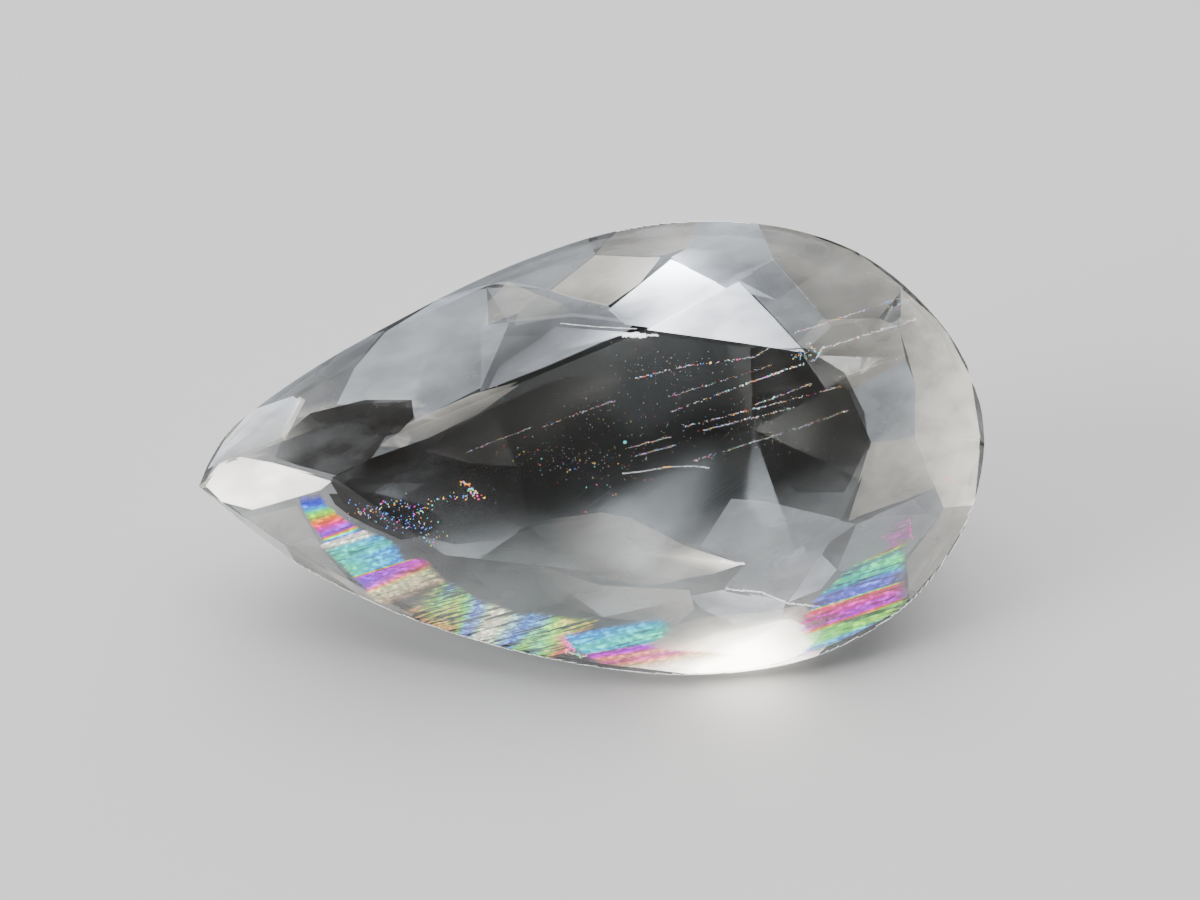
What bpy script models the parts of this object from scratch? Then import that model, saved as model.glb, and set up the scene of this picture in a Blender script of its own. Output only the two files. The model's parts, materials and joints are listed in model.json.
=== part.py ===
"""A pear cut moonstone, lying on the pavilion facet that it comes to rest on.

The stone is cut the way a lapidary cuts it: a pear shaped preform, then one flat facet after another, each
taken off by a plane. The crown has a table, eight kites, eight stars and sixteen upper girdle facets. The
pavilion has eight mains that meet in a short keel, and sixteen lower girdle facets.
"""

from math import radians

import bmesh
import bpy
from mathutils import Vector

MM = 0.001

# The girdle, in millimetres on the stone's own plan: the tip is at -X and the round head at +X.
# The cutter left it uneven. The upper side is blunted beside the tip, and the lower side runs straight.
TIP = (-5.05, -0.58)
UPPER_SIDE = ((-4.86, -0.15), (-4.46, 0.32), (-3.25, 1.15), (-1.11, 2.26), (0.77, 2.81))
HEAD = ((2.60, 2.73), (3.93, 2.05), (4.86, 0.76), (4.84, -0.70), (4.05, -1.97))
LOWER_SIDE = ((2.74, -2.72), (1.10, -2.94), (-0.64, -2.73), (-2.30, -2.26), (-3.80, -1.55))
STEPS_PER_SPAN = 8
GIRDLE_THICKNESS = 0.30

# The table's corners on the same plan, from the corner nearest the tip, over the upper side and the head,
# and where the kite from each corner comes down on the girdle.
TABLE_HEIGHT = 1.05
TABLE_CORNERS = (
    (-3.26, -0.46),
    (-2.60, 0.06),
    (0.52, 1.40),
    (2.55, 1.14),
    (3.44, -0.10),
    (3.07, -0.91),
    (1.79, -1.79),
    (-1.90, -1.40),
)
KITE_FEET = (
    (-5.05, -0.58),
    (-3.25, 1.15),
    (-0.05, 2.65),
    (3.30, 2.45),
    (4.93, -0.06),
    (4.10, -1.92),
    (1.35, -2.94),
    (-2.55, -2.18),
)

# How far down the crown each star facet's outer corner lies, as a share, from the table to the girdle.
STAR_DEPTH = (0.62, 0.34, 0.27, 0.46, 0.50, 0.46, 0.42, 0.70)

# The keel under the stone, from its deep end below the head to its tail, which is a little shallower.
# The mains of the tail corners come down to the tail, and the rest to the deep end.
KEEL_DEPTH = 3.00
KEEL_HEAD = (2.10, 0.20)
KEEL_TAIL = (-1.00, -0.05)
KEEL_RISE = 0.12
TAIL_CORNERS = (0, 1, 7)
LOWER_GIRDLE_DEPTH = 0.62

# The stone rests on the main below this corner of the table.
REST_CORNER = 6

# Half the height of the block that the facets are cut from, in millimetres. Points nearer to a cut than the
# snap distance, in metres, lie on it, and facets less than the flat angle apart are one facet.
PREFORM_HALF = 4.0
CUT_SNAP = 0.4e-6
FLAT_ANGLE = radians(0.05)


def on_plan(point, height=0.0):
    """A point of the plan, given in millimetres, as a vector in metres."""
    return Vector((point[0] * MM, point[1] * MM, height * MM))


def spline_point(before, start, end, after, share):
    """A point on the Catmull-Rom curve from start to end."""
    a = 2 * start
    b = end - before
    c = 2 * before - 5 * start + 4 * end - after
    d = 3 * start - before - 3 * end + after
    return 0.5 * (a + b * share + c * share**2 + d * share**3)


def girdle_outline():
    """The pear outline as a closed run of points, clockwise from the tip, which stays a sharp corner."""
    marks = [on_plan(p) for p in (TIP, *UPPER_SIDE, *HEAD, *LOWER_SIDE, TIP)]
    points = []
    for i in range(len(marks) - 1):
        start, end = marks[i], marks[i + 1]
        before = marks[i - 1] if i > 0 else start
        after = marks[i + 2] if i + 2 < len(marks) else end
        for step in range(STEPS_PER_SPAN):
            points.append(spline_point(before, start, end, after, step / STEPS_PER_SPAN))
    return points


def nearest_station(outline, point):
    """The index of the outline point nearest to a point."""
    return min(range(len(outline)), key=lambda i: (outline[i] - point).length)


def tangent_at(outline, station):
    """The outline's direction at a station, by its two neighbours."""
    after = outline[(station + 1) % len(outline)]
    return (after - outline[station - 1]).normalized()


def girdle_stations(outline):
    """The index of the outline point that each kite comes down on."""
    return [nearest_station(outline, on_plan(foot)) for foot in KITE_FEET]


def middle_station(stations, corner, count):
    """The station halfway round the girdle from one kite to the next."""
    start = stations[corner]
    end = stations[(corner + 1) % len(stations)]
    return (start + (end - start) % count // 2) % count


def plane_through(a, b, c):
    """A plane through three points, as a point and a unit normal that points away from the stone's middle."""
    normal = (b - a).cross(c - a).normalized()
    if normal.dot(a) < 0:
        normal = -normal
    return a, normal


def meeting_line(first, second):
    """A point on the line where two planes meet, and the line's direction."""
    along = first[1].cross(second[1])
    offset = first[1].dot(first[0]) * second[1].cross(along)
    offset += second[1].dot(second[0]) * along.cross(first[1])
    return offset / along.length_squared, along


def at_height(line, height):
    """The point of a line at a height in metres."""
    start, along = line
    return start + along * ((height - start.z) / along.z)


def crown_planes(outline, stations):
    """The planes of the table, the kites, the stars and the upper girdle facets."""
    edge = GIRDLE_THICKNESS / 2
    lift = Vector((0, 0, edge * MM))
    corners = [on_plan(corner, TABLE_HEIGHT) for corner in TABLE_CORNERS]
    kites = []
    for corner, station in zip(corners, stations):
        foot = outline[station] + lift
        kites.append(plane_through(corner, foot, foot + tangent_at(outline, station) * MM))
    planes = [(on_plan((0, 0), TABLE_HEIGHT), Vector((0, 0, 1))), *kites]
    for i, kite in enumerate(kites):
        j = (i + 1) % len(kites)
        height = TABLE_HEIGHT - STAR_DEPTH[i] * (TABLE_HEIGHT - edge)
        apex = at_height(meeting_line(kite, kites[j]), height * MM)
        middle = outline[middle_station(stations, i, len(outline))] + lift
        planes.append(plane_through(corners[i], corners[j], apex))
        planes.append(plane_through(apex, outline[stations[i]] + lift, middle))
        planes.append(plane_through(apex, middle, outline[stations[j]] + lift))
    return planes


def main_planes(outline, stations):
    """The eight pavilion mains, each from its place on the girdle down to its end of the keel."""
    drop = Vector((0, 0, -GIRDLE_THICKNESS / 2 * MM))
    head = on_plan(KEEL_HEAD, -KEEL_DEPTH)
    tail = on_plan(KEEL_TAIL, KEEL_RISE - KEEL_DEPTH)
    mains = []
    for i, station in enumerate(stations):
        foot = outline[station] + drop
        keel = tail if i in TAIL_CORNERS else head
        mains.append(plane_through(keel, foot, foot + tangent_at(outline, station) * MM))
    return mains


def lower_girdle_planes(outline, stations, mains):
    """The sixteen facets between the mains, which run from the girdle most of the way down."""
    edge = -GIRDLE_THICKNESS / 2
    drop = Vector((0, 0, edge * MM))
    depth = edge - LOWER_GIRDLE_DEPTH * (KEEL_DEPTH + edge)
    planes = []
    for i, main in enumerate(mains):
        j = (i + 1) % len(mains)
        apex = at_height(meeting_line(main, mains[j]), depth * MM)
        middle = outline[middle_station(stations, i, len(outline))] + drop
        planes.append(plane_through(apex, outline[stations[i]] + drop, middle))
        planes.append(plane_through(apex, middle, outline[stations[j]] + drop))
    return planes


def preform(outline):
    """The rough block before faceting: the pear outline as an upright prism."""
    block = bmesh.new()
    floor = block.faces.new([block.verts.new(p - Vector((0, 0, PREFORM_HALF * MM))) for p in outline])
    walls = bmesh.ops.extrude_face_region(block, geom=[floor])["geom"]
    top = [v for v in walls if isinstance(v, bmesh.types.BMVert)]
    bmesh.ops.translate(block, verts=top, vec=Vector((0, 0, 2 * PREFORM_HALF * MM)))
    bmesh.ops.recalc_face_normals(block, faces=block.faces)
    return block


def cut_facet(block, plane):
    """Takes off all that lies outside a plane, and closes the stone with one flat facet."""
    everything = [*block.verts, *block.edges, *block.faces]
    point, normal = plane
    cut = bmesh.ops.bisect_plane(
        block, geom=everything, dist=CUT_SNAP, plane_co=point, plane_no=normal, clear_outer=True
    )["geom_cut"]
    rim = [e for e in cut if isinstance(e, bmesh.types.BMEdge) and e.is_boundary]
    if rim:
        bmesh.ops.contextual_create(block, geom=rim)


def lay_down(rest_plane):
    """The turn that brings the pavilion facet that the stone rests on to face straight down."""
    down = rest_plane[1].rotation_difference(Vector((0, 0, -1)))
    return down.to_matrix().to_4x4()


def cut_stone():
    """The whole stone as a mesh in the frame that it rests in, its foot on the floor and centred over it."""
    outline = girdle_outline()
    stations = girdle_stations(outline)
    mains = main_planes(outline, stations)
    block = preform(outline)
    for plane in crown_planes(outline, stations) + mains + lower_girdle_planes(outline, stations, mains):
        cut_facet(block, plane)
    bmesh.ops.dissolve_limit(block, angle_limit=FLAT_ANGLE, verts=block.verts, edges=block.edges)
    bmesh.ops.recalc_face_normals(block, faces=block.faces)
    bmesh.ops.transform(block, matrix=lay_down(mains[REST_CORNER]), verts=block.verts)
    low = Vector([min(v.co[k] for v in block.verts) for k in range(3)])
    high = Vector([max(v.co[k] for v in block.verts) for k in range(3)])
    middle = (low + high) / 2
    bmesh.ops.translate(block, verts=block.verts, vec=Vector((-middle.x, -middle.y, -low.z)))
    mesh = bpy.data.meshes.new("moonstone")
    block.to_mesh(mesh)
    block.free()
    return mesh


def moonstone_material():
    """Clear feldspar with a smoky cast and a milky sheen."""
    material = bpy.data.materials.new("moonstone")
    material.use_nodes = True
    shader = material.node_tree.nodes["Principled BSDF"]
    shader.inputs["Base Color"].default_value = (0.62, 0.63, 0.66, 1)
    shader.inputs["Roughness"].default_value = 0.06
    shader.inputs["IOR"].default_value = 1.52
    shader.inputs["Transmission Weight"].default_value = 1.0
    return material


def main():
    for old in list(bpy.data.objects):
        bpy.data.objects.remove(old)
    mesh = cut_stone()
    mesh.materials.append(moonstone_material())
    mesh.shade_flat()
    stone = bpy.data.objects.new("moonstone", mesh)
    bpy.context.scene.collection.objects.link(stone)


main()
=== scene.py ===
import json
from math import cos, pi, radians, sin
import random

import bpy
from mathutils import Matrix, Vector


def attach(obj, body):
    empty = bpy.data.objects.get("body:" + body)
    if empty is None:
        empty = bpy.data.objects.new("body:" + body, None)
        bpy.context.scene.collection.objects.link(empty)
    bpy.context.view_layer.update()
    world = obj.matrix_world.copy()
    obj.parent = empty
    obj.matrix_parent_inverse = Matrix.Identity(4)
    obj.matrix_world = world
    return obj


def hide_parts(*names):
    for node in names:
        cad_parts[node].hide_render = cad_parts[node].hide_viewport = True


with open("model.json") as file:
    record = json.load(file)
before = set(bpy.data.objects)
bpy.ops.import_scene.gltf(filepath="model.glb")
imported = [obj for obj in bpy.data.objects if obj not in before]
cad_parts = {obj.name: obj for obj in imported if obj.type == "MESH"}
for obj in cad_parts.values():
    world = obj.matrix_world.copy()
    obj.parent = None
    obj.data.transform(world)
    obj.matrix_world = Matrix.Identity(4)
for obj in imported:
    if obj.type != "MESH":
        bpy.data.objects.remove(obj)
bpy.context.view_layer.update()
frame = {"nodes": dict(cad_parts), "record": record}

# The cut stone. One clear piece of feldspar, ground into facets on a lap and polished, with smudges and fine
# scratches left in the polish. The cutter's last strokes rounded the edges of the crown by a hair. The girdle
# was left as ground, a little frosted, and the pavilion is less finely polished than the crown.
MM = 0.001
SAME_POINT = 0.0002 * MM
FLAT_ANGLE = radians(0.2)
EDGE_ROUNDING = 0.010 * MM
GIRDLE_DEPTH = (0.90, 1.20)
CROWN_MARGIN = 0.05
GIRDLE_MARGIN = 0.03
GIRDLE_LEAN = 0.5
PAVILION_LEAN = -0.1

# The feldspar: how strongly it bends light, and a smoky tint of painted shade in its colourless body, which
# darkens what passes through it as a dark backdrop would. Smudges and scratches are counted per millimetre, and
# the scratches run one way, as the lap turned.
FELDSPAR_IOR = 1.53
SHADE_TINT = (0.49, 0.50, 0.49, 1)
SHADE_TINT_DENSITY = 380
SMUDGES = 0.9
SCRATCHES = 1.1
SCRATCH_SHAPE = (0.5, 70, 1)
LAP_TURN = radians(-35)

# The stone's own plan lies in its table, which the record's mount places: x runs along the stone, y across
# it and z straight out of the table. Places on it are in millimetres, with depths below the table.
TABLE_MOUNT = (0.7, -0.2)
table = next(mount for mount in frame["record"]["mounts"] if mount["name"] == "table")
out_of_table = Vector(table["axis"]).normalized()
along = (Vector((1, 0, 0)) - out_of_table * out_of_table.x).normalized()
across = out_of_table.cross(along)
plan_turn = Matrix((along, across, out_of_table)).transposed()
plan_origin = Vector(table["pos_m"]) - plan_turn @ Vector((*TABLE_MOUNT, 0)) * MM


def at(x, y, depth):
    """A place in the stone, from its plan and its depth below the table in millimetres."""
    return plan_origin + plan_turn @ Vector((x, y, -depth)) * MM


def on_plan(place):
    """The plan's x, y and depth in millimetres of a place in the stone."""
    local = plan_turn.transposed() @ (place - plan_origin) / MM
    return local.x, local.y, -local.z


def pick(piece):
    """Leaves one piece selected and active, in object mode."""
    if bpy.context.object and bpy.context.object.mode != "OBJECT":
        bpy.ops.object.mode_set(mode="OBJECT")
    bpy.ops.object.select_all(action="DESELECT")
    if piece:
        piece.select_set(True)
        bpy.context.view_layer.objects.active = piece


def merged_copy(name):
    """The stone's solid as a new piece, with its loose triangles merged into whole facets."""
    copy = bpy.data.objects.new(name, frame["nodes"]["moonstone"].data.copy())
    bpy.context.scene.collection.objects.link(copy)
    copy.data.materials.clear()
    pick(copy)
    bpy.ops.object.mode_set(mode="EDIT")
    bpy.ops.mesh.select_all(action="SELECT")
    bpy.ops.mesh.remove_doubles(threshold=SAME_POINT)
    bpy.ops.mesh.dissolve_limited(angle_limit=FLAT_ANGLE)
    bpy.ops.object.mode_set(mode="OBJECT")
    return copy


def new_material(name):
    """A material and its Principled shader."""
    material = bpy.data.materials.new(name)
    material.use_nodes = True
    return material, material.node_tree.nodes["Principled BSDF"]


class Pattern:
    """A value or colour that varies over a piece: one output of a shader node, which can stand in sums."""

    def __init__(self, tree, socket=None):
        self.tree = tree
        self.socket = socket

    def node(self, kind, settings=None, inputs=None, output=0):
        """Adds a node, sets it up, fills or links its inputs, and gives back one of its outputs."""
        made = self.tree.nodes.new(kind)
        for name, value in (settings or {}).items():
            if name == "stops":
                ramp = made.color_ramp
                while len(ramp.elements) < len(value):
                    ramp.elements.new(1)
                for element, (position, color) in zip(ramp.elements, value):
                    element.position = position
                    element.color = (*color, 1)
            elif name == "interpolation":
                made.color_ramp.interpolation = value
            else:
                setattr(made, name, value)
        for name, value in (inputs or {}).items():
            if isinstance(value, Pattern):
                self.tree.links.new(value.socket, made.inputs[name])
            else:
                made.inputs[name].default_value = value
        return Pattern(self.tree, made.outputs[output] if made.outputs else None)

    def math(self, operation, first, second=0.0):
        return self.node("ShaderNodeMath", {"operation": operation}, {0: first, 1: second})

    def __add__(self, other):
        return self.math("ADD", self, other)

    def __sub__(self, other):
        return self.math("SUBTRACT", self, other)

    def __rsub__(self, other):
        return self.math("SUBTRACT", other, self)

    def __mul__(self, other):
        return self.math("MULTIPLY", self, other)

    def __truediv__(self, other):
        return self.math("DIVIDE", self, other)

    def __pow__(self, other):
        return self.math("POWER", self, other)

    __radd__ = __add__
    __rmul__ = __mul__

    def fade(self, start, end, low=0.0, high=1.0):
        """A soft step from low at start to high at end."""
        return self.node(
            "ShaderNodeMapRange",
            {"interpolation_type": "SMOOTHSTEP"},
            {"Value": self, "From Min": start, "From Max": end, "To Min": low, "To Max": high},
        )

    def axes(self):
        """The three coordinates of a place."""
        return [self.node("ShaderNodeSeparateXYZ", {}, {0: self}, axis) for axis in ("X", "Y", "Z")]

    def clouds(self, scale, detail=3.0, stretch=(1, 1, 1), turn=0.0, move=(0, 0, 0)):
        """Soft noise over a place, which can be drawn out along a turned axis."""
        turned = self.node("ShaderNodeMapping", {}, {"Vector": self, "Rotation": (0, 0, turn)})
        drawn = turned.node("ShaderNodeMapping", {}, {"Vector": turned, "Scale": stretch, "Location": move})
        return drawn.node("ShaderNodeTexNoise", {}, {"Vector": drawn, "Scale": scale, "Detail": detail})

    def into(self, shader, name):
        self.tree.links.new(self.socket, shader.inputs[name])


def place_on_plan(material):
    """The shaded place as x, y and z on the stone's plan, in millimetres."""
    start = Pattern(material.node_tree)
    place = start.node("ShaderNodeTexCoord", output="Object")
    return start.node(
        "ShaderNodeMapping",
        {"vector_type": "TEXTURE"},
        {"Vector": place, "Location": plan_origin, "Rotation": plan_turn.to_euler(), "Scale": (MM, MM, MM)},
    )


def clear_feldspar(name, transmission, roughness, smudged, scratched):
    """Clear feldspar whose body is tinted smoky as painted shade, and whose polish is rougher by some under smudges
    and in fine scratches.
    """
    material, shader = new_material(name)
    shader.inputs["Base Color"].default_value = (1, 1, 1, 1)
    shader.inputs["IOR"].default_value = FELDSPAR_IOR
    shader.inputs["Transmission Weight"].default_value = transmission
    place = place_on_plan(material)
    smudges = place.clouds(SMUDGES, 4.0).fade(0.42, 0.72, roughness, roughness + smudged)
    lines = place.clouds(SCRATCHES, 2.0, SCRATCH_SHAPE, LAP_TURN)
    lines = lines * place.clouds(0.8, 1.0).fade(0.4, 0.6, 0.7, 1.0)
    (smudges + lines.fade(0.62, 0.66) * scratched).into(shader, "Roughness")
    # The smoky tint is painted shade: it darkens the colourless stone.
    painted_shade = place.node("ShaderNodeVolumeAbsorption", {}, {"Color": SHADE_TINT, "Density": SHADE_TINT_DENSITY})
    painted_shade.into(material.node_tree.nodes["Material Output"], "Volume")
    return material


stone = merged_copy("cut_stone")
crown = stone.vertex_groups.new(name="crown")
crown_foot = GIRDLE_DEPTH[0] + CROWN_MARGIN
crown.add([v.index for v in stone.data.vertices if on_plan(v.co)[2] < crown_foot], 1.0, "REPLACE")
rounding = stone.modifiers.new("edge rounding", "BEVEL")
rounding.width = EDGE_ROUNDING
rounding.segments = 2
rounding.limit_method = "VGROUP"
rounding.vertex_group = crown.name
bpy.ops.object.modifier_apply(modifier=rounding.name)
bpy.ops.object.shade_flat()
stone.data.materials.append(clear_feldspar("polished moonstone", 1.0, 0.0, 0.05, 0.22))
stone.data.materials.append(clear_feldspar("ground girdle", 0.5, 0.3, 0.15, 0.2))
stone.data.materials.append(clear_feldspar("pavilion polish", 1.0, 0.12, 0.05, 0.1))
for facet in stone.data.polygons:
    lean = facet.normal.dot(out_of_table)
    if lean < PAVILION_LEAN:
        facet.material_index = 2
    if abs(lean) < GIRDLE_LEAN and GIRDLE_DEPTH[0] - GIRDLE_MARGIN < on_plan(facet.center)[2] < GIRDLE_DEPTH[1]:
        facet.material_index = 1
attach(stone, "root")
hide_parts("moonstone")

# The milky layers. Moonstone's sheen comes from thin sheets of a second feldspar that unmixed as it cooled.
# They lie flat under the table, one below the other, and fade out towards the clear middle of the stone. Beside
# their own white, they glow faintly as painted light.
LAYER_DEPTHS = (1.02, 1.50)
LAYER_MARGIN = 0.97
LAYER_MILK = 0.36
LAYER_SHIFT = 3.1
CLEAR_MIDDLE = (1.0, 0.45)
CLEAR_TURN = radians(12)
CLEAR_SIZE = (2.6, 1.25)
GRAIN_TURN = radians(15)


def clear_window(place):
    """How far out a place lies from the clear middle: 1 on the edge of an oval that is turned a little."""
    x, y, _ = place.axes()
    x = x - CLEAR_MIDDLE[0]
    y = y - CLEAR_MIDDLE[1]
    run = (x * cos(CLEAR_TURN) + y * sin(CLEAR_TURN)) / CLEAR_SIZE[0]
    rise = (y * cos(CLEAR_TURN) - x * sin(CLEAR_TURN)) / CLEAR_SIZE[1]
    return (run * run + rise * rise) ** 0.5


def paint_glow(material, shader, color, strength):
    """Paints light into a piece inside the stone: it glows by emission, though it is no lamp."""
    if isinstance(color, Pattern):
        color.into(shader, "Emission Color")
    else:
        shader.inputs["Emission Color"].default_value = (*color, 1)
    # The emission is painted light.
    shader.inputs["Emission Strength"].default_value = strength
    material.cycles.emission_sampling = "NONE"


def layer_milk(name, shift):
    """White feldspar in a clear one, thick round the rim and patchy, with patches of its own by a shift, and glowing
    faintly as painted light.
    """
    material, shader = new_material(name)
    place = place_on_plan(material)
    patches = place.clouds(0.9, 3.0, (1, 1.6, 1), -GRAIN_TURN, (shift, 0, 0)).fade(0.35, 0.65, 0.45, 1.0)
    cover = clear_window(place).fade(0.95, 1.6) * patches * LAYER_MILK
    shader.inputs["Base Color"].default_value = (0.86, 0.88, 0.9, 1)
    shader.inputs["Roughness"].default_value = 0.7
    # A faint painted glow.
    paint_glow(material, shader, (0.85, 0.88, 0.93), 0.28)
    cover.into(shader, "Alpha")
    return material


def in_glass(piece, material):
    """Finishes a piece that is sealed in the stone."""
    piece.data.materials.clear()
    piece.data.materials.append(material)
    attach(piece, "root")


for number, depth in enumerate(LAYER_DEPTHS, 1):
    layer = merged_copy(f"milky_layer_{number}")
    bpy.ops.object.mode_set(mode="EDIT")
    bpy.ops.mesh.select_all(action="SELECT")
    bpy.ops.mesh.bisect(
        plane_co=at(0, 0, depth), plane_no=out_of_table, use_fill=True, clear_inner=True, clear_outer=True
    )
    bpy.ops.object.mode_set(mode="OBJECT")
    middle = sum((v.co for v in layer.data.vertices), Vector()) / len(layer.data.vertices)
    for corner in layer.data.vertices:
        corner.co = middle + (corner.co - middle) * LAYER_MARGIN
    in_glass(layer, layer_milk(f"layer milk {number}", number * LAYER_SHIFT))

# The sheen, painted light. Polygons of milky feldspar lie close under the crown, each where a facet shows a
# bright or grey patch, and they glow by emission. Each has a warmth, and corners with a place on the plan and
# the thickness of the milk, which also sets how brightly it glows. Over 1, the milk glows as a painted glare.
UPPER_SHEEN = (
    (0, ((0.95, 2.32, 2.0), (1.62, 1.96, 1.1), (0.65, 1.45, 0.75), (0.36, 1.49, 0.45), (0.15, 1.68, 0.5))),
    (0, ((0.62, 1.43, 1), (1.18, 1.75, 0.85), (1.78, 2.03, 0.75), (2.19, 1.6, 0.65), (2.6, 1.14, 0.6),
         (1.85, 1.26, 0.75))),
    (1, ((0, 2.38, 0.5), (0.82, 2.34, 0.6), (0.55, 2.01, 0.6), (0.14, 1.72, 0.45), (-0.27, 1.82, 0.4),
         (-0.58, 1.92, 0.45))),
    (1, ((-1.38, 1.76, 0.15), (-1.11, 2.04, 0.4), (-0.74, 1.87, 0.4), (-0.98, 1.63, 0.4), (-1.38, 1.48, 0.25))),
    (1, ((-0.98, 1.63, 0.3), (-0.74, 1.87, 0.35), (-0.44, 1.76, 0.2), (-0.27, 1.6, 0), (-1.03, 1.47, 0.2))),
    (0, ((-2.67, 1.39, 0.45), (-1.98, 1.82, 0.4), (-1.38, 1.95, 0.35), (-1.35, 1.48, 0.4), (-1.09, 1.51, 0.35),
         (-1.45, 0.69, 0.3), (-2.27, 0.27, 0.4), (-2.34, 0.51, 0.5), (-3.27, 0.47, 0.45), (-3.05, 0.94, 0.4))),
    (0, ((-2.67, 1.39, 0.3), (-1.6, 2.04, 0.35), (-0.65, 2.43, 0.35), (-0.09, 2.58, 0.25), (0, 2.38, 0.3),
         (-0.58, 1.92, 0.3), (-1.11, 2.04, 0.3), (-1.98, 1.82, 0.3))),
    (1, ((0, 2.38, 0.25), (0.29, 2.68, 0.3), (1.3, 2.81, 0.45), (1.18, 2.45, 0.45), (0.82, 2.34, 0.3))),
    (0, ((1.18, 2.45, 0.45), (1.3, 2.81, 0.5), (2.06, 2.78, 0.55), (2.25, 2.3, 0.35), (1.78, 2.03, 0.3),
         (1.45, 1.95, 0.45), (0.95, 2.32, 0.7))),
    (0, ((-1.38, 1.95, 0.3), (-0.58, 1.92, 0.3), (-0.27, 1.82, 0.35), (0.14, 1.72, 0.35), (0.36, 1.49, 0.3),
         (-0.27, 1.57, 0.25), (-1.1, 1.5, 0.25))),
    (0, ((1.45, 1.95, 0.35), (2.25, 2.3, 0.3), (2.95, 1.45, 0.3), (2.6, 1.14, 0.2), (2.19, 1.6, 0.35),
         (1.78, 2.03, 0.4))),
    (1, ((2.06, 2.78, 0.4), (2.57, 2.68, 0.35), (3.32, 2.38, 0.4), (3.89, 1.95, 0.45), (3.58, 1.57, 0.25),
         (2.95, 1.45, 0.15), (2.25, 2.3, 0.3))),
    (0, ((-0.5, 1.43, 0.15), (0.38, 1.36, 0.75), (0.04, 1.24, 0.45), (-0.62, 0.95, 0.35), (-1.35, 0.66, 0.25),
         (-1.22, 0.94, 0.1))),
    (1, ((-2.59, 0.11, 0.35), (-2.27, 0.27, 0.45), (-1.55, 0.59, 0.45), (-0.98, 0.75, 0.25), (-1.6, 0.31, 0.1),
         (-2.1, -0.02, 0.05))),
    (0, ((-4.43, 0.41, 0.5), (-3.74, 0.91, 0.45), (-3.05, 1.25, 0.4), (-2.67, 1.39, 0.35), (-3.05, 0.94, 0.05),
         (-3.74, 0.62, 0.15), (-4.12, 0.31, 0.3))),
    (0, ((-1.45, 0.62, 0.15), (-0.62, 0.93, 0.1), (0.04, 1.22, 0.15), (0.42, 1.38, 0.3), (0.50, 1.50, 0.3),
         (-0.27, 1.60, 0.25), (-1.05, 1.52, 0.2), (-1.42, 1.50, 0.2))),
)
TIP_SHEEN = (
    (0, ((-4.92, -0.33, 0.6), (-4.43, 0.41, 0.7), (-3.84, 0.59, 0.55), (-3.74, 0.54, 0.6), (-3.98, 0.06, 0.4),
         (-4.49, -0.13, 0.35), (-4.77, -0.26, 0.3))),
    (1, ((-3.76, 0.59, 0.5), (-3.68, 0.54, 0.5), (-3.93, 0.03, 0.6), (-3.99, 0.11, 0.5))),
)
HEAD_SHEEN = (
    (1, ((3.88, 1.98, 0.45), (4.34, 1.57, 0.5), (4.78, 0.84, 0.6), (4.88, 0.06, 0.65), (4.01, 0.09, 0.5),
         (4.01, 0.76, 0.45), (3.83, 1.45, 0.4))),
    (1, ((4.01, 0.09, 0.5), (4.88, 0.06, 0.65), (4.82, -0.77, 0.65), (4.39, -0.8, 0.55), (4.2, -0.4, 0.5))),
    (1, ((4.39, -0.8, 0.4), (4.82, -0.77, 0.45), (4.4, -1.5, 0.4), (3.99, -1.97, 0.3), (3.93, -1.46, 0.25))),
    (1, ((3.43, 0.02, 0.4), (4.01, 0.09, 0.45), (4.2, -0.4, 0.45), (4.26, -0.56, 0.4), (3.59, -0.78, 0.35),
         (3.14, -0.94, 0.3))),
    (0, ((3.15, 0.66, 0.3), (3.89, 1.07, 0.4), (4.01, 0.76, 0.4), (4.01, 0.09, 0.4), (3.43, 0.02, 0.35))),
    (1, ((2.44, 1.19, 0.1), (2.82, 1.55, 0.25), (3.58, 1.57, 0.35), (3.83, 1.45, 0.4), (3.89, 1.07, 0.4),
         (3.15, 0.66, 0.25))),
)
LOWER_SHEEN = (
    (1, ((-0.72, -0.95, 0), (0.04, -0.85, 0.25), (0.43, -0.92, 0.3), (1.1, -1.27, 0.3), (1.81, -1.5, 0.9),
         (1.45, -1.62, 0.45), (0.68, -1.75, 0.2), (-0.46, -1.61, 0))),
    (1, ((-0.84, -1.46, 0), (0.04, -1.75, 0.25), (1.16, -1.81, 0.4), (1.23, -2.04, 0.4), (1.01, -2.25, 0.15),
         (0.04, -2.15, 0.1), (-0.65, -1.9, 0))),
    (0, ((1.68, -0.68, 0.35), (2.1, -0.71, 0.35), (2.78, -0.87, 0.35), (3.24, -0.98, 0.3), (2.91, -1.21, 0.2),
         (2.78, -1.43, 0.3), (2.39, -1.96, 0.35), (1.58, -1.8, 0.15), (1.83, -1.52, 0.15), (1.3, -1.27, 0.2))),
    (0, ((2.81, -1.36, 0.35), (3.01, -1.56, 0.5), (2.81, -1.81, 0.4), (2.39, -1.98, 0.5))),
    (0, ((1.16, -1.88, 0.3), (1.58, -1.8, 0.55), (2.37, -1.94, 0.5), (2.3, -2.27, 0.4), (1.85, -2.29, 0.5),
         (1.33, -2.04, 0.4))),
    (0, ((3.24, -0.98, 0.3), (4.26, -0.56, 0.3), (4.39, -0.8, 0.25), (3.91, -1.4, 0.2), (3.14, -1.59, 0.25),
         (3.01, -1.56, 0.25))),
    (1, ((-4.6, -0.95, 0.3), (-3.75, -0.75, 0.25), (-3.4, -1.35, 0.2), (-2.9, -1.95, 0.25), (-2.3, -2.15, 0.15),
         (-2.4, -2.3, 0.3), (-3.8, -1.55, 0.35))),
)
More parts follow.
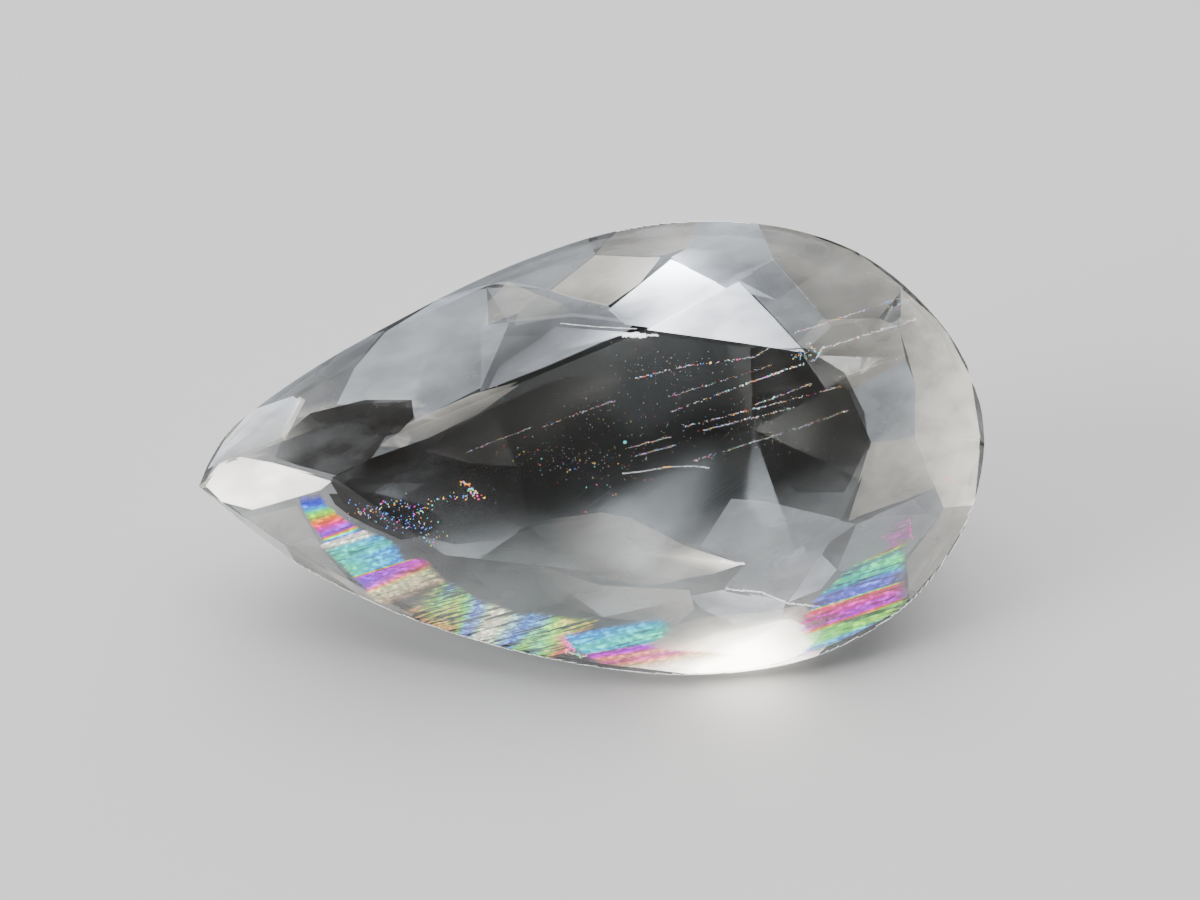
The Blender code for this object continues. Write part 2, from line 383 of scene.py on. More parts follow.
# The bottom glow is a painted glare low in the stone, brightest at its core.
BOTTOM_GLOW = (
    (0.3, -2.50, 0), (1.33, -2.15, 0.2), (2.6, -2.02, 0.3), (3.1, -2.35, 0.1), (2.79, -2.72, 0.8), (2.1, -2.87, 1.4),
    (1.2, -2.90, 1.4), (0.2, -2.78, 0.3),
)
GLOW_CORE = (
    (0.85, -2.72, 0.3), (1.4, -2.42, 0.6), (2.4, -2.18, 0.9), (2.85, -2.36, 0.6), (2.65, -2.68, 1.2),
    (2.0, -2.82, 2.0), (1.3, -2.88, 1.8),
)
SHEEN_DEPTH = 0.10
SHEEN_STEP = 0.015
GLOW_DEPTH = 0.12
GLOW_STEP = 0.01
COOL_MILK = (0.77, 0.82, 0.89)
WARM_MILK = (0.88, 0.84, 0.76)

# A place that misses the crown is drawn in towards the middle of the plan by this share, up to so many times.
DRAW_IN = 0.995
DRAW_TRIES = 60
CROWN_LEAN = 0.3


def under_crown(x, y, below):
    """A place a little below the crown's facets, drawn in from the rim where it would miss them."""
    for _ in range(DRAW_TRIES):
        hit, place, normal, _ = stone.ray_cast(at(x, y, -1), -out_of_table)
        if hit and normal.dot(out_of_table) > CROWN_LEAN:
            return place - out_of_table * below * MM
        x, y = x * DRAW_IN, y * DRAW_IN
    return place - out_of_table * below * MM


def patchwork(name, patches, material, below, step):
    """One piece of thin patches under the crown, each a step deeper than the one before."""
    made = []
    for number, (outline, values) in enumerate(patches):
        pick(None)
        bpy.ops.mesh.primitive_circle_add(vertices=len(outline), fill_type="NGON")
        sheet = bpy.context.object
        for corner, (x, y) in zip(sheet.data.vertices, outline):
            corner.co = under_crown(x, y, below + step * number)
        bpy.ops.object.mode_set(mode="EDIT")
        bpy.ops.mesh.select_all(action="SELECT")
        bpy.ops.mesh.poke()
        bpy.ops.object.mode_set(mode="OBJECT")
        for key, numbers in values.items():
            sheet.data.attributes.new(key, "FLOAT", "POINT").data.foreach_set("value", numbers)
        made.append(sheet)
    pick(made[0])
    for sheet in made:
        sheet.select_set(True)
    if len(made) > 1:
        bpy.ops.object.join()
    piece = bpy.context.object
    piece.name = name
    in_glass(piece, material)


def patch(marks, warmth=None, middle=None):
    """An outline, and the values at its corners and its middle, from marks of x, y and milk."""
    milks = [milk for _, _, milk in marks]
    values = {"milk": [*milks, sum(milks) / len(milks) if middle is None else middle]}
    if warmth is not None:
        values["warmth"] = [warmth] * (len(marks) + 1)
    return [(x, y) for x, y, _ in marks], values


def painted_sheen_milk():
    """Milky feldspar whose thickness and warmth its corners carry, clouded a little, and glowing as painted sheen,
    the brighter the thicker it is.
    """
    material, shader = new_material("painted sheen milk")
    start = Pattern(material.node_tree)
    milk = start.node("ShaderNodeAttribute", {"attribute_name": "milk"}, {}, "Fac")
    warmth = start.node("ShaderNodeAttribute", {"attribute_name": "warmth"}, {}, "Fac")
    tone = start.node(
        "ShaderNodeMix", {"data_type": "RGBA"}, {0: warmth, 6: (*COOL_MILK, 1), 7: (*WARM_MILK, 1)}, 2
    )
    clouds = place_on_plan(material).clouds(2.2, 4.0, (0.7, 1.5, 1), -GRAIN_TURN).fade(0.3, 0.7, 0.72, 1.12)
    tone.into(shader, "Base Color")
    shader.inputs["Roughness"].default_value = 0.6
    # Painted sheen: the thicker the milk, the brighter its glow, and over 1 it glares.
    glow = milk.fade(0.3, 1.0, 0.7, 3.6) + milk.fade(1.0, 2.0) * 9.0
    paint_glow(material, shader, tone.node("ShaderNodeVectorMath", {"operation": "SCALE"}, {0: tone, "Scale": glow}), 1.0)
    (milk * clouds).into(shader, "Alpha")
    return material


milk = painted_sheen_milk()
for name, zones in (
    ("upper_sheen", UPPER_SHEEN), ("tip_sheen", TIP_SHEEN), ("head_sheen", HEAD_SHEEN), ("lower_sheen", LOWER_SHEEN),
):
    patchwork(name, [patch(marks, warmth) for warmth, marks in zones], milk, SHEEN_DEPTH, SHEEN_STEP)
# The painted glare at the bottom and its core.
glow_patches = [patch(BOTTOM_GLOW, 1.0, 1.0), patch(GLOW_CORE, 1.0, 2.0)]
patchwork("bottom_glow", glow_patches, milk, GLOW_DEPTH, GLOW_STEP)

# The painted shade. Near-black sheets lie under the crown where the stone shows dark beside the milk: they
# deepen its dark middle and dim the reflections there. Their corners carry how dark they are.
SHADE_DEPTH = 0.075
SHADE_STEP = 0.008
SHADE_ZONES = (
    ((-3.62, 0.38, 0.8), (-2.92, 0.55, 1), (-2.32, 0.55, 1), (-2.29, 0.34, 1), (-2.48, 0.14, 1),
     (-2.64, 0.09, 1), (-2.83, -0.17, 1), (-3.24, -0.40, 1), (-3.75, -0.27, 0.8), (-4.05, -0.17, 0.2),
     (-3.95, 0.09, 0.3)),
    ((-3.34, -0.44, 0.95), (-2.83, -0.17, 1), (-2.1, 0.09, 0.8), (-1.59, 0.34, 0.7), (-0.44, 0.85, 0.4),
     (0.06, 0.85, 0), (0.06, -0.93, 0), (-0.7, -0.99, 0.2), (-1.2, -1.19, 0.2), (-1.78, -1.25, 0.4),
     (-2.2, -1.15, 0.6), (-2.75, -1.00, 0.7), (-3.18, -0.72, 0.9)),
    ((-3.36, -0.60, 0.9), (-2.8, -0.6, 0.9), (-2.2, -0.75, 0.7), (-1.9, -0.95, 0.3), (-2.1, -1.12, 0.4),
     (-2.45, -1.18, 0.8), (-2.85, -1.01, 1), (-3.10, -0.88, 1), (-3.28, -0.74, 1)),
    ((2.0, 1.2, 0.2), (2.6, 1.2, 0.8), (3.1, 0.9, 0.8), (3.35, 0.4, 0.7), (3.4, 0.0, 0.6), (3.1, -0.6, 0.4),
     (2.5, -0.6, 0.3), (1.9, 0.2, 0)),
)
material, shader = new_material("painted shade")
place = place_on_plan(material)
painted_shade = place.node("ShaderNodeAttribute", {"attribute_name": "milk"}, {}, "Fac")
# Painted shade: a near-black sheet.
shader.inputs["Base Color"].default_value = (0.035, 0.03, 0.026, 1)
shader.inputs["Roughness"].default_value = 0.5
drifts = place.clouds(1.8, 4.0, (0.7, 1.6, 1), -GRAIN_TURN).fade(0.3, 0.6, 0.75, 1.1)
(painted_shade * drifts).into(shader, "Alpha")
patchwork("painted_shade_zones", [patch(marks) for marks in SHADE_ZONES], material, SHADE_DEPTH, SHADE_STEP)

# The tip highlight, painted light. A cream white sheet of milk fills the tip below its kite facet and glows
# there as a bright highlight.
TIP_HIGHLIGHT = (
    (-4.95, -0.52, 0.95), (-4.77, -0.26, 0.9), (-4.49, -0.17, 0.85), (-4.08, -0.24, 0.9), (-3.66, -0.35, 0.9),
    (-3.32, -0.45, 0.75), (-3.46, -0.56, 0.8), (-4.2, -0.78, 0.9), (-4.35, -0.82, 0.95), (-4.75, -0.72, 1.0),
)
HIGHLIGHT_DEPTH = 0.08
HIGHLIGHT_WARMTH = 0.8
# A painted highlight under the tip's kite facet.
patchwork("tip_highlight", [patch(TIP_HIGHLIGHT, HIGHLIGHT_WARMTH)], milk, HIGHLIGHT_DEPTH, 0)

# The rainbow flakes. Near the rim the stone has begun to part along its cleavage, in steps. The gaps are
# thinner than a wavelength or two of light, so they show the bands of colour of a soap film, which also glow
# as painted light. Each step has a cover, a share of plain white, and corners with the width of its gap in
# nanometres.
TIP_BANDS = (
    ((-3.76, -0.66, 590), (-3.44, -0.60, 590), 0.3, 0),
    ((-3.74, -0.74, 610), (-3.40, -0.70, 610), 1, 0),
    ((-3.70, -0.83, 700), (-3.37, -0.77, 720), 1, 0),
    ((-3.66, -0.90, 820), (-3.30, -0.80, 830), 1, 0),
    ((-3.62, -0.99, 930), (-3.23, -0.87, 930), 1, 0),
    ((-3.57, -1.06, 1020), (-3.14, -0.93, 1020), 1, 0),
    ((-3.49, -1.17, 1120), (-3.03, -1.00, 1130), 1, 0),
    ((-3.48, -1.20, 930), (-3.00, -1.02, 930), 1, 0),
    ((-3.46, -1.24, 640), (-2.95, -1.06, 640), 1, 0),
    ((-3.50, -1.27, 700), (-2.86, -1.06, 700), 1, 1),
    ((-3.46, -1.31, 750), (-2.79, -1.09, 750), 1, 1),
    ((-3.42, -1.35, 745), (-2.70, -1.12, 700), 1, 0),
    ((-3.35, -1.43, 755), (-2.55, -1.20, 740), 1, 0),
    ((-3.28, -1.50, 750), (-2.47, -1.28, 690), 1, 0),
    ((-3.15, -1.61, 760), (-2.44, -1.36, 700), 1, 0),
    ((-3.10, -1.67, 740), (-2.40, -1.44, 680), 1, 0),
    ((-3.08, -1.70, 1110), (-2.20, -1.40, 1050), 1, 0),
    ((-3.00, -1.78, 1130), (-2.11, -1.44, 1040), 0.9, 0),
    ((-2.94, -1.85, 1060), (-2.06, -1.48, 1000), 0.8, 0.1),
    ((-2.95, -1.88, 930), (-2.07, -1.51, 900), 1, 0.2),
    ((-2.92, -1.92, 860), (-2.02, -1.55, 860), 0.7, 0.6),
    ((-2.82, -2.00, 900), (-1.91, -1.65, 900), 0.5, 0.6),
    ((-2.70, -2.08, 930), (-1.85, -1.72, 930), 0, 0.3),
)
LOWER_BANDS = (
    ((-2.49, -2.10, 900), (-1.88, -1.62, 880), 0, 0.3),
    ((-2.20, -2.28, 930), (-1.78, -1.72, 640), 0.8, 0.2),
    ((-2.00, -2.38, 900), (-1.66, -1.80, 840), 0.9, 0.2),
    ((-1.85, -2.42, 950), (-1.55, -1.88, 700), 0.9, 0.2),
    ((-1.72, -2.46, 640), (-1.46, -1.93, 640), 0.9, 0.2),
    ((-1.62, -2.50, 700), (-1.38, -1.97, 680), 1, 0.3),
    ((-1.55, -2.52, 800), (-1.26, -1.99, 800), 1, 0.9),
    ((-1.42, -2.54, 800), (-1.10, -2.05, 800), 1, 0.9),
    ((-1.30, -2.56, 700), (-0.98, -2.10, 700), 0.9, 0.4),
    ((-1.15, -2.60, 640), (-0.80, -2.10, 680), 0.9, 0.1),
    ((-1.00, -2.64, 860), (-0.60, -2.12, 640), 0.95, 0.2),
    ((-0.82, -2.68, 700), (-0.42, -2.14, 860), 0.95, 0.2),
    ((-0.64, -2.72, 860), (-0.28, -2.16, 850), 0.9, 0.2),
    ((-0.50, -2.72, 1000), (-0.08, -2.17, 850), 0.9, 0.1),
    ((-0.40, -2.70, 1050), (0.06, -2.19, 870), 0, 0.1),
)
KEYSTONE_BANDS = (
    ((-0.42, -2.38, 690), (0.93, -2.14, 700), 0, 0),
    ((-0.46, -2.45, 690), (0.95, -2.22, 730), 1, 0),
    ((-0.40, -2.54, 720), (0.97, -2.31, 750), 1, 0),
    ((-0.31, -2.61, 740), (0.93, -2.40, 750), 1, 0),
    ((-0.20, -2.66, 700), (0.76, -2.49, 730), 1, 0),
    ((-0.18, -2.67, 1080), (0.70, -2.51, 1100), 1, 0),
    ((-0.10, -2.72, 1060), (0.80, -2.56, 1070), 1, 0),
    ((-0.04, -2.74, 930), (0.88, -2.58, 960), 0.7, 0.3),
    ((0.06, -2.79, 1050), (1.20, -2.60, 1060), 0.9, 0.1),
    ((0.30, -2.83, 900), (1.58, -2.62, 900), 0.8, 0.4),
    ((0.70, -2.87, 900), (1.84, -2.68, 900), 0, 0.5),
)
HEAD_BANDS = (
    ((3.55, -1.15, 1030), (3.98, -0.80, 1040), 0, 0),
    ((3.70, -1.26, 1050), (4.00, -1.00, 1050), 0.4, 0),
    ((3.66, -1.36, 1060), (3.97, -1.15, 1060), 0.4, 0),
    ((3.10, -1.58, 745), (3.94, -1.30, 745), 0.6, 0),
    ((3.00, -1.72, 750), (3.93, -1.42, 760), 0.9, 0),
    ((2.80, -1.88, 740), (3.94, -1.52, 740), 0.9, 0),
    ((2.70, -1.98, 640), (3.94, -1.58, 640), 0.9, 0.15),
    ((2.60, -2.10, 610), (3.95, -1.70, 620), 0.9, 0.1),
    ((2.58, -2.14, 980), (3.96, -1.74, 1000), 0.95, 0.1),
    ((2.50, -2.26, 1040), (3.97, -1.84, 1050), 1, 0),
    ((2.55, -2.38, 1070), (3.98, -1.92, 1080), 1, 0),
    ((2.60, -2.44, 800), (3.99, -1.97, 820), 0.9, 0.1),
    ((2.65, -2.55, 780), (3.90, -2.10, 850), 0.85, 0.1),
    ((2.60, -2.66, 680), (3.50, -2.32, 660), 0.8, 0.1),
    ((2.50, -2.72, 690), (3.20, -2.46, 690), 0.6, 0.1),
    ((2.30, -2.80, 1060), (2.80, -2.62, 1060), 0.8, 0),
    ((2.10, -2.84, 1080), (2.60, -2.72, 1080), 0, 0),
)
BAND_COLUMNS = (0, 0.1, 0.3, 0.5, 0.7, 0.86, 1)
CLEAVAGE_TURN = radians(16)
WAVELENGTHS = (650, 540, 450)
PURITY = 2.4
CREAM = (1.0, 0.9, 0.78, 1)


def film(name, unrest, gloom, ragged, broken):
    """The colours of a thin gap, streaked along the cleavage and broken up by tiny steps.

    The steps change the gap's width by the unrest, in nanometres. Where the streaks fall below the broken
    share, the film is dimmed to its gloom and holed by its raggedness.
    """
    material, shader = new_material(name)
    place = place_on_plan(material)
    gap, cover, white = [
        place.node("ShaderNodeAttribute", {"attribute_name": key}, {}, "Fac") for key in ("gap", "cover", "white")
    ]
    streaks = place.clouds(3.0, 3.0, (0.45, 13, 1), -CLEAVAGE_TURN)
    flecks = place.clouds(15, 3.0, (0.7, 1.5, 1), -CLEAVAGE_TURN)
    width = gap + (streaks - 0.5) * unrest + (flecks - 0.5) * unrest * 0.5
    red, green, blue = [(width.math("SINE", width * (pi / wave)) ** 2.0) ** PURITY for wave in WAVELENGTHS]
    rainbow = width.node("ShaderNodeCombineColor", {}, {"Red": red, "Green": green, "Blue": blue})
    color = width.node("ShaderNodeMix", {"data_type": "RGBA"}, {0: white, 6: rainbow, 7: CREAM}, 2)
    # The flecks brighten the colours up to 2.6 times as a painted sparkle, and the film glows as painted light.
    shade = streaks.fade(broken, broken + 0.08, gloom, 1.0) * flecks.fade(0.45, 0.72, 0.8, 2.6)
    lit = color.node("ShaderNodeVectorMath", {"operation": "SCALE"}, {0: color, "Scale": shade})
    lit.into(shader, "Base Color")
    paint_glow(material, shader, lit, 0.9)
    (cover * streaks.fade(broken, broken + 0.14, 1.0 - ragged, 1.0)).into(shader, "Alpha")
    shader.inputs["Roughness"].default_value = 0.3
    return material


def banded_flake(name, bands, material, below):
    """A flake whose colours run in bands, from a list of their two ends, their covers and shares of white."""
    pick(None)
    bpy.ops.mesh.primitive_grid_add(x_subdivisions=len(BAND_COLUMNS) - 1, y_subdivisions=len(bands) - 1)
    flake = bpy.context.object
    flake.name = name
    gaps, covers, whites = [], [], []
    for row, (start, end, cover, white) in enumerate(bands):
        for column, share in enumerate(BAND_COLUMNS):
            x, y, gap = [a + (b - a) * share for a, b in zip(start, end)]
            corner = flake.data.vertices[row * len(BAND_COLUMNS) + column]
            corner.co = under_crown(x, y, below)
            gaps.append(gap)
            covers.append(0 if share in (0, 1) else cover)
            whites.append(white)
    for key, numbers in (("gap", gaps), ("cover", covers), ("white", whites)):
        flake.data.attributes.new(key, "FLOAT", "POINT").data.foreach_set("value", numbers)
    in_glass(flake, material)


smooth_film = film("smooth cleavage film", 60, 0.45, 0.15, 0.37)
banded_flake("tip_flake", TIP_BANDS, smooth_film, 0.05)
banded_flake("lower_flake", LOWER_BANDS, film("broken cleavage film", 260, 0.1, 0.8, 0.43), 0.06)
banded_flake("head_flake", HEAD_BANDS, film("fine cleavage film", 130, 0.25, 0.4, 0.40), 0.05)
banded_flake("keystone_flake", KEYSTONE_BANDS, smooth_film, 0.045)

# The needle trails. Fine tubes and needles grew along one direction of the crystal, and healed into rows of
# tiny bubbles. Each is a rounded grain about a hundredth of a millimetre across, which glows white or in one
# colour as a painted sparkle. A trail has a thickness and the corners that it runs through.
TRAILS = (
    (1.0, ((0.9, 0.40), (1.75, 0.72))),
    (1.5, ((1.75, 0.72), (2.74, 1.07), (2.83, 1.20), (3.25, 1.33), (4.08, 1.58))),
    (1.2, ((0.48, 0.83), (1.08, 0.98), (1.97, 1.10))),
    (1.1, ((1.97, 1.10), (2.50, 1.40), (3.89, 1.86))),
    (1.0, ((1.97, 0.50), (2.70, 0.77))),
    (1.0, ((1.08, 0.22), (3.07, 0.73))),
    (1.1, ((1.33, 0.18), (2.48, 0.47))),
    (0.9, ((0.40, -0.04), (0.95, 0.11))),
    (0.9, ((0.48, -0.14), (1.00, 0.00))),
    (0.8, ((-0.70, 0.22), (0.23, 0.56))),
    (0.8, ((-1.65, -0.10), (-0.83, 0.22))),
    (0.8, ((1.20, -0.20), (2.44, 0.18), (3.15, 0.43))),
    (0.7, ((3.05, 0.85), (4.0, 1.15))),
    (0.7, ((0.9, 0.60), (2.2, 1.0))),
)
TRAIL_DEPTH = 0.06
TRAIL_UNREST = 0.01
TRAIL_STEP = 0.011
TRAIL_STRAY = 0.006
TRAIL_WAVES = (21, 5.3)
TRAIL_GAPS = 0.3
GRAIN_SIZES = (0.0025, 0.0055)
LARGE_SHARE = 0.07
LARGE_SIZE = 2.2
# The colours of the painted sparks by tint: white up to 0.5, then blue, orange, yellow, sea green, magenta and red.
GRAIN_TINTS = (
    (0.00, (0.95, 0.97, 1.0)), (0.50, (0.10, 0.30, 1.0)), (0.60, (1.0, 0.40, 0.05)),
    (0.70, (1.0, 0.85, 0.20)), (0.78, (0.15, 0.90, 0.85)), (0.86, (1.0, 0.03, 0.50)), (0.94, (1.0, 0.12, 0.03)),
)


def painted_spark_material(name, strength):
    """Grains that glow as painted sparks, white or in one colour, though they are no lamps."""
    material, shader = new_material(name)
    tint = Pattern(material.node_tree).node("ShaderNodeAttribute", {"attribute_name": "tint"}, {}, "Fac")
    color = tint.node("ShaderNodeValToRGB", {"stops": GRAIN_TINTS, "interpolation": "CONSTANT"}, {"Fac": tint})
    color.into(shader, "Base Color")
    paint_glow(material, shader, color, strength)
    shader.inputs["Roughness"].default_value = 0.4
    return material


def sown(name, grains, material):
    """One piece from a list of grains, each a place, a radius in millimetres and a tint from 0 to 1."""
    mesh = bpy.data.meshes.new(name)
    mesh.from_pydata([place for place, _, _ in grains], [], [])
    mesh.attributes.new("size", "FLOAT", "POINT").data.foreach_set("value", [r * MM for _, r, _ in grains])
    mesh.attributes.new("tint", "FLOAT", "POINT").data.foreach_set("value", [tint for _, _, tint in grains])
    piece = bpy.data.objects.new(name, mesh)
    bpy.context.scene.collection.objects.link(piece)
    tree = bpy.data.node_groups.new(name, "GeometryNodeTree")
    tree.interface.new_socket("Geometry", in_out="INPUT", socket_type="NodeSocketGeometry")
    tree.interface.new_socket("Geometry", in_out="OUTPUT", socket_type="NodeSocketGeometry")
    points = Pattern(tree).node("NodeGroupInput")
    ball = points.node("GeometryNodeMeshIcoSphere", {}, {"Radius": 1.0, "Subdivisions": 1})
    size = points.node("GeometryNodeInputNamedAttribute", {"data_type": "FLOAT"}, {"Name": "size"})
    turn = points.node(
        "FunctionNodeRandomValue", {"data_type": "FLOAT_VECTOR"}, {"Min": (0, 0, 0), "Max": (6, 6, 6)}
    )
    copies = points.node(
        "GeometryNodeInstanceOnPoints", {}, {"Points": points, "Instance": ball, "Rotation": turn, "Scale": size}
    )
    solid = copies.node("GeometryNodeRealizeInstances", {}, {0: copies})
    solid.node("NodeGroupOutput", {}, {0: solid})
    sowing = piece.modifiers.new("sowing", "NODES")
    sowing.node_group = tree
    pick(piece)
    bpy.ops.object.modifier_apply(modifier=sowing.name)
    in_glass(piece, material)


def length(start, end):
    """How far apart two places on the plan are."""
    return ((end[0] - start[0]) ** 2 + (end[1] - start[1]) ** 2) ** 0.5


chance = random.Random(7)
grains = []
for thickness, trail in TRAILS:
    for (x0, y0), (x1, y1) in zip(trail, trail[1:]):
        reach = length((x0, y0), (x1, y1))
        for step in range(int(reach / TRAIL_STEP)):
            share = (step + chance.uniform(-0.4, 0.4)) * TRAIL_STEP / reach
            run = share * reach
            thin = 0.2 * sin(run * TRAIL_WAVES[0] + thickness * 9) + 0.25 * sin(run * TRAIL_WAVES[1] + thickness * 31)
            if chance.random() < TRAIL_GAPS + thin:
                continue
            side = chance.gauss(0, TRAIL_STRAY)
            x = x0 + (x1 - x0) * share - side * (y1 - y0) / reach
            y = y0 + (y1 - y0) * share + side * (x1 - x0) / reach
            radius = thickness * chance.uniform(*GRAIN_SIZES) * (LARGE_SIZE if chance.random() < LARGE_SHARE else 1)
            grains.append((under_crown(x, y, TRAIL_DEPTH + chance.gauss(0, TRAIL_UNREST)), radius, chance.random()))
sown("needle_trails", grains, painted_spark_material("trail bubbles", 1.8))

# The glints, painted highlights. Lines and sparks of glowing grains, white or in one colour, lie where fine
# cracks and the corners of the facets catch the light. Each is a line, the step between its grains, their
# largest radius, how far they stray, the range of their tints, and a depth.
GLINTS = (
    (((0.32, -0.36), (0.60, -0.33), (0.89, -0.28), (1.22, -0.27), (1.42, -0.29)), 0.010, 0.0045, 0.004,
     (0.0, 0.5), 0.2),
    (((0.84, -0.28), (0.94, -0.28)), 0.010, 0.009, 0.004, (0.6, 0.7), 0.2),
    (((-0.45, 1.515), (-0.03, 1.47), (0.51, 1.44)), 0.008, 0.005, 0.002, (0.0, 0.3), 0.06),
    (((0.18, 1.375), (0.76, 1.37)), 0.004, 0.008, 0.004, (0.0, 0.2), 0.02),
    (((0.34, 1.375), (0.60, 1.37)), 0.002, 0.014, 0.012, (0.0, 0.2), 0.02),
    (((-3.1, -0.80), (-2.1, -1.05)), 0.018, 0.007, 0.06, (0.48, 0.6), 0.06),
    (((-2.9, -0.85), (-2.1, -1.05)), 0.030, 0.006, 0.06, (0.76, 1.0), 0.06),
    (((-0.46, -2.42), (-0.28, -2.62)), 0.004, 0.010, 0.025, (0.86, 0.93), 0.035),
    (((-0.42, -2.62), (-0.10, -2.70)), 0.006, 0.008, 0.012, (0.70, 0.94), 0.035),
    (((1.61, -1.79), (2.05, -1.84), (2.40, -1.99), (2.84, -2.04)), 0.008, 0.007, 0.003, (0.0, 0.3), 0.1),
    (((1.55, -1.46), (1.86, -1.50)), 0.008, 0.009, 0.008, (0.0, 0.2), 0.1),
    (((-3.09, -0.87), (-2.6, -0.72), (-2.2, -0.80), (-1.9, -0.66), (-1.40, -0.64)), 0.020, 0.008, 0.03,
     (0.48, 0.94), 0.06),
    (((-1.70, -0.48), (-1.62, -0.52), (-1.50, -0.64)), 0.007, 0.010, 0.022, (0.58, 1.0), 0.06),
    (((-2.5, -0.70), (-2.05, -1.25)), 0.020, 0.007, 0.08, (0.48, 0.94), 0.06),
    (((-2.2, -0.9), (-1.9, -1.1)), 0.025, 0.006, 0.09, (0.48, 0.94), 0.06),
    (((-1.2, -0.05), (0.0, -0.35), (0.6, -0.45)), 0.035, 0.006, 0.16, (0.58, 1.0), 0.12),
    (((3.94, -0.95), (4.0, -1.2)), 0.010, 0.006, 0.006, (0.86, 0.94), 0.06),
    (((4.44, -0.44), (4.50, -0.47)), 0.012, 0.010, 0.008, (0.94, 1.0), 0.06),
    (((2.20, 2.36), (2.77, 1.71)), 0.02, 0.003, 0.003, (0.0, 0.4), 0.06),
    (((3.47, 2.19), (3.87, 2.0)), 0.02, 0.004, 0.008, (0.0, 0.8), 0.06),
    (((2.45, 1.10), (2.75, 1.16), (2.62, 1.28)), 0.014, 0.006, 0.02, (0.3, 0.9), 0.1),
    (((3.7, 1.70), (4.05, 1.86)), 0.014, 0.006, 0.02, (0.3, 0.94), 0.06),
    (((-0.1, 1.72), (0.6, 2.28)), 0.03, 0.003, 0.03, (0.0, 0.5), 0.06),
    (((-5.15, -0.7), (-3.9, -1.7), (-2.35, -2.4), (-0.65, -2.9), (1.1, -3.1), (2.8, -2.9), (4.2, -2.1),
      (5.0, -0.7)), 0.010, 0.006, 0.0, (0.0, 0.5), 0.015),
    (((0.3, 3.0), (2.1, 3.0)), 0.010, 0.006, 0.0, (0.0, 0.5), 0.015),
)
glints = []
for line, step, largest, stray, (low, high), depth in GLINTS:
    for (x0, y0), (x1, y1) in zip(line, line[1:]):
        reach = length((x0, y0), (x1, y1))
        for number in range(int(reach / step)):
            share = number * (step / reach)
            x = x0 + (x1 - x0) * share + chance.gauss(0, stray)
            y = y0 + (y1 - y0) * share + chance.gauss(0, stray)
            radius = largest * chance.uniform(0.5, 1.4)
            glints.append((under_crown(x, y, depth), radius, chance.uniform(low, high)))
# Painted highlights: the glints glow.
sown("glints", glints, painted_spark_material("glint grains", 1.7))

# The specks. Single crystals and bubbles float in the clear middle, in loose swarms beside the trails, and glow
# as painted sparks; one larger bubble glows sea green. A swarm has a count, a place, and how far it spreads.
SWARMS = (
    (260, (0.5, 0.35), (1.5, 0.55)),
    (160, (-0.3, -0.2), (0.7, 0.25)),
    (120, (2.4, 0.2), (0.8, 0.5)),
    (70, (0.9, 1.0), (0.6, 0.15)),
    (60, (-1.6, -0.5), (0.6, 0.3)),
)
SPECK_DEPTHS = (0.25, 1.3)
SPECK_SIZES = (0.0015, 0.0045)
LARGE_SPECK = ((0.35, 0.03, 0.3), 0.024, 0.80)
specks = []
for count, (x, y), (run, rise) in SWARMS:
    for _ in range(count):
        out = chance.gauss(0, 0.5)
        place = (x + chance.gauss(0, run * 0.6), y + out * rise + (chance.random() - 0.5) * 0.1)
        depth = chance.uniform(*SPECK_DEPTHS)
        specks.append((at(*place, depth), chance.uniform(*SPECK_SIZES), chance.random()))
place, radius, tint = LARGE_SPECK
specks.append((at(*place), radius, tint))
# The specks glow as painted sparks.
sown("specks", specks, painted_spark_material("speck crystals", 0.9))

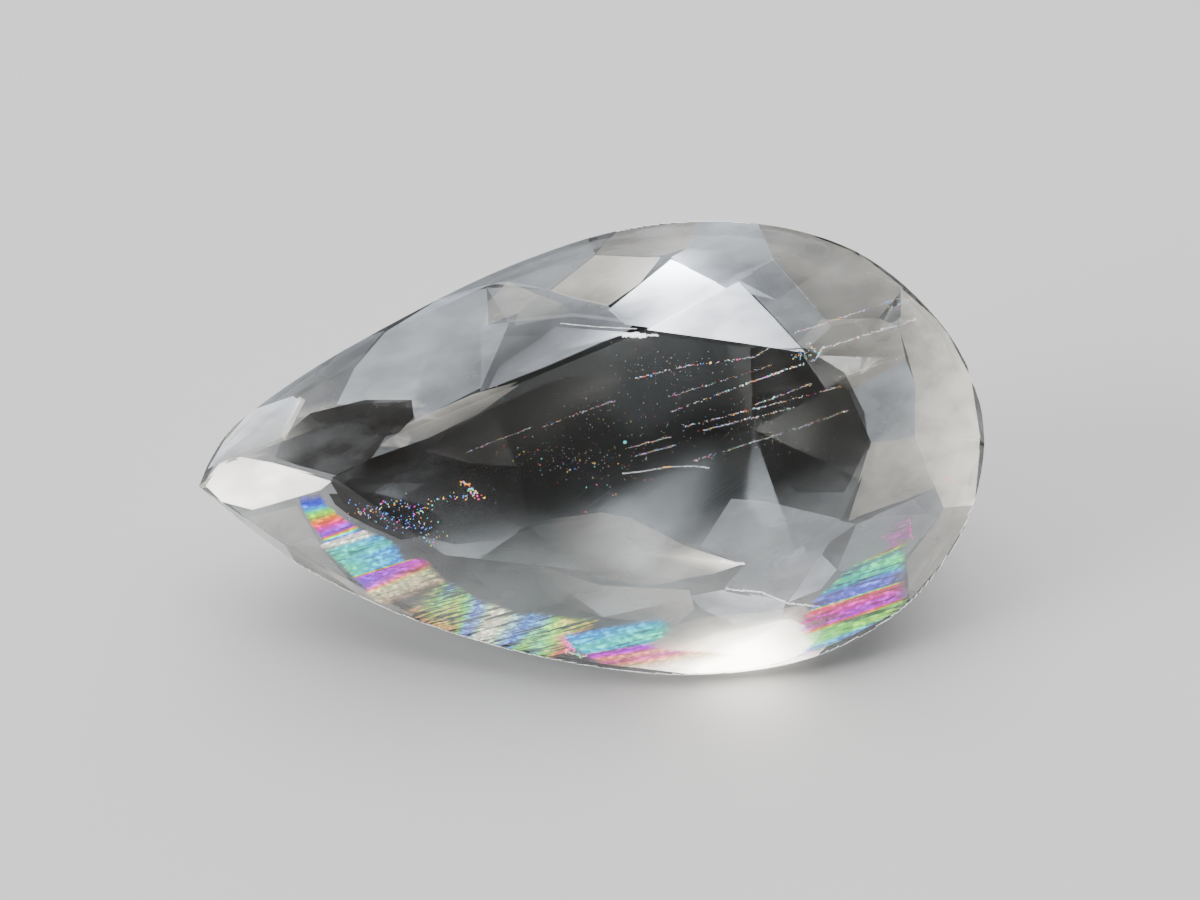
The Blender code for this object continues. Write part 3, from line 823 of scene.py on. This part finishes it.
# The floor. A plain pale board, a hair below the stone.
FLOOR_SIZE = 1.2
FLOOR_GAP = 0.02 * MM
pick(None)
bpy.ops.mesh.primitive_plane_add(size=FLOOR_SIZE, location=(0, 0, -FLOOR_GAP))
floor = bpy.context.object
floor.name = "floor"
paper, paper_shader = new_material("pale floor")
paper_shader.inputs["Base Color"].default_value = (0.7, 0.7, 0.7, 1)
paper_shader.inputs["Roughness"].default_value = 0.8
floor.data.materials.append(paper)

# Light. Soft boxes overhead and at the left. The overhead one isn't mirrored by the facets, which would lay a
# white veil over the clear middle, and a dimmer one takes its place in what is seen through the stone.
world = bpy.data.worlds.new("studio")
bpy.context.scene.world = world
world.use_nodes = True
world.node_tree.nodes["Background"].inputs["Color"].default_value = (0.1, 0.1, 0.1, 1)


def softbox(name, place, size, power):
    """A soft box that faces the stone."""
    light = bpy.data.lights.new(name, "AREA")
    light.shape = "RECTANGLE"
    light.size, light.size_y = size
    light.energy = power
    lamp = bpy.data.objects.new(name, light)
    bpy.context.scene.collection.objects.link(lamp)
    lamp.location = place
    lamp.rotation_euler = (-Vector(place)).to_track_quat("-Z", "Y").to_euler()
    return lamp


overhead = softbox("overhead softbox", (0.0, 0.3, 0.55), (1.05, 0.85), 7.2)
overhead.visible_glossy = False
overhead.visible_transmission = False
dim = softbox("dim softbox", (0.0, 0.29, 0.53), (0.9, 0.75), 2.6)
dim.visible_glossy = False
softbox("left softbox", (-0.5, -0.1, 0.25), (0.25, 0.3), 2.5)

# Camera. It looks down at the stone at the photograph's angle, through a long lens.
CAMERA_AT = Vector((0.1, 0.04, 1.93)) * MM
CAMERA_HEIGHT = radians(48.0)
CAMERA_DISTANCE = 51.3 * MM
camera_data = bpy.data.cameras.new("camera")
camera_data.lens = 120
camera_data.sensor_width = 36
camera_data.clip_start = 0.002
camera_data.clip_end = 10
camera = bpy.data.objects.new("camera", camera_data)
bpy.context.scene.collection.objects.link(camera)
sight = Vector((0, -cos(CAMERA_HEIGHT), sin(CAMERA_HEIGHT)))
camera.location = CAMERA_AT + CAMERA_DISTANCE * sight
camera.rotation_euler = (-sight).to_track_quat("-Z", "Y").to_euler()
bpy.context.scene.camera = camera
